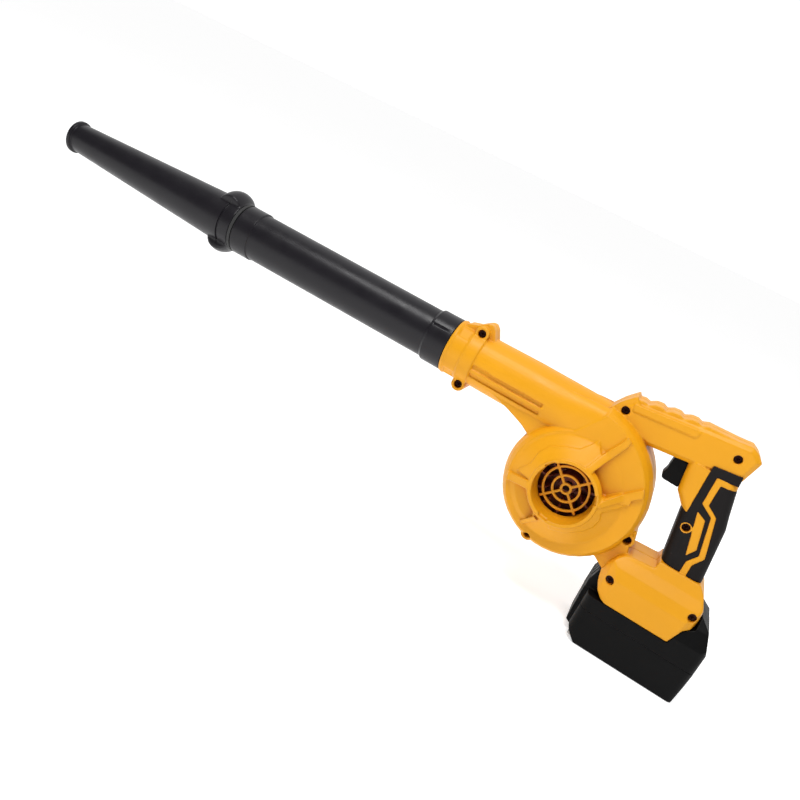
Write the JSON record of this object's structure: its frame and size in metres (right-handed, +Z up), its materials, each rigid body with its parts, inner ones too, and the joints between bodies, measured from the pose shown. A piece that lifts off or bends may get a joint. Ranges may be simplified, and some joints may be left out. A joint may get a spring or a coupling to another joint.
{
  "type": "leaf blower",
  "caption": "Cordless hand-held leaf blower: scroll fan case with round side intake, loop handle with trigger, long tube with tapered nozzle, and a slide-off battery pack as its foot.",
  "frame": {"origin": "centre of the battery pack's bottom face, on the surface that the blower stands on", "axes": "+Z up, the nozzle points to -X along the air tube, the air intake faces -Y"},
  "size_m": [0.8404, 0.111, 0.2398],
  "materials": {
    "shell": "satin",
    "soft_grip": "fine textured",
    "tube_black": "satin",
    "pack_black": "fine textured",
    "inner_black": "matt",
    "steel": "zinc plated",
    "can_steel": "drawn steel",
    "magnet": "ferrite",
    "bell_plastic": "moulded",
    "carbon": "carbon block",
    "winding": "enamelled wire on laminated iron",
    "copper": "bare",
    "board": "solder mask",
    "sink": "extruded",
    "lead_red": "wire sleeve",
    "seal": "smooth",
    "cell_wrap": "shrink sleeve",
    "holder": "moulded",
    "nickel": "rolled",
    "button": "ribbed"
  },
  "bodies": {
    "housing": {"housing_right": "shell", "housing_left": "shell", "intake_guard": "shell", "grip_overmould_right": "soft_grip", "grip_overmould_left": "soft_grip", "housing_screws": "steel", "fan_back_plate": "inner_black", "motor_can": "can_steel", "motor_magnets": "magnet", "motor_end_bell": "bell_plastic", "motor_brushes": "carbon", "motor_bearings": "steel", "motor_screws": "steel", "trigger_switch": "inner_black", "controller_board": "board", "heat_sink": "sink", "terminal_block": "inner_black", "terminal_blades": "copper", "motor_leads": "lead_red", "battery_leads": "lead_red", "trigger_spring": "steel"},
    "rotor": {"rotor_shaft": "steel", "armature": "winding", "commutator": "copper", "impeller": "inner_black", "impeller_nut": "steel"},
    "trigger": {"trigger": "pack_black"},
    "tube": {"blower_tube": "tube_black", "collar_seal": "seal", "nozzle_seal": "seal"},
    "nozzle": {"nozzle": "tube_black"},
    "battery": {"battery_lower_case": "pack_black", "battery_upper_case": "pack_black", "battery_cells": "cell_wrap", "cell_holders": "holder", "cell_straps": "nickel", "battery_board": "board", "battery_terminals": "copper", "battery_screws": "steel", "release_spring": "steel"},
    "release_button": {"release_button": "button"}
  },
  "joints": [
    {"name": "fan_spin", "type": "hinge", "parent": "housing", "child": "rotor", "pos_m": [-0.1224, 0, 0.1254], "axis": [0, 1, 0], "continuous": true},
    {"name": "trigger_pull", "type": "slide", "parent": "housing", "child": "trigger", "axis": [1, 0, 0], "range_m": [0, 0.0065], "stiffness_N_per_m": 900, "springref_m": -0.004, "deforming": ["trigger_spring"]},
    {"name": "tube_pull_off", "type": "slide", "parent": "housing", "child": "tube", "axis": [-1, 0, 0], "range_m": [0, 0.03]},
    {"name": "nozzle_pull_off", "type": "slide", "parent": "tube", "child": "nozzle", "axis": [-1, 0, 0], "range_m": [0, 0.03]},
    {"name": "battery_slide", "type": "slide", "parent": "housing", "child": "battery", "axis": [1, 0, 0], "range_m": [0, 0.1]},
    {"name": "release_press", "type": "slide", "parent": "battery", "child": "release_button", "axis": [-0.9272, 0, -0.3746], "range_m": [0, 0.003], "stiffness_N_per_m": 1500, "springref_m": -0.002, "deforming": ["release_spring"]}
  ]
}
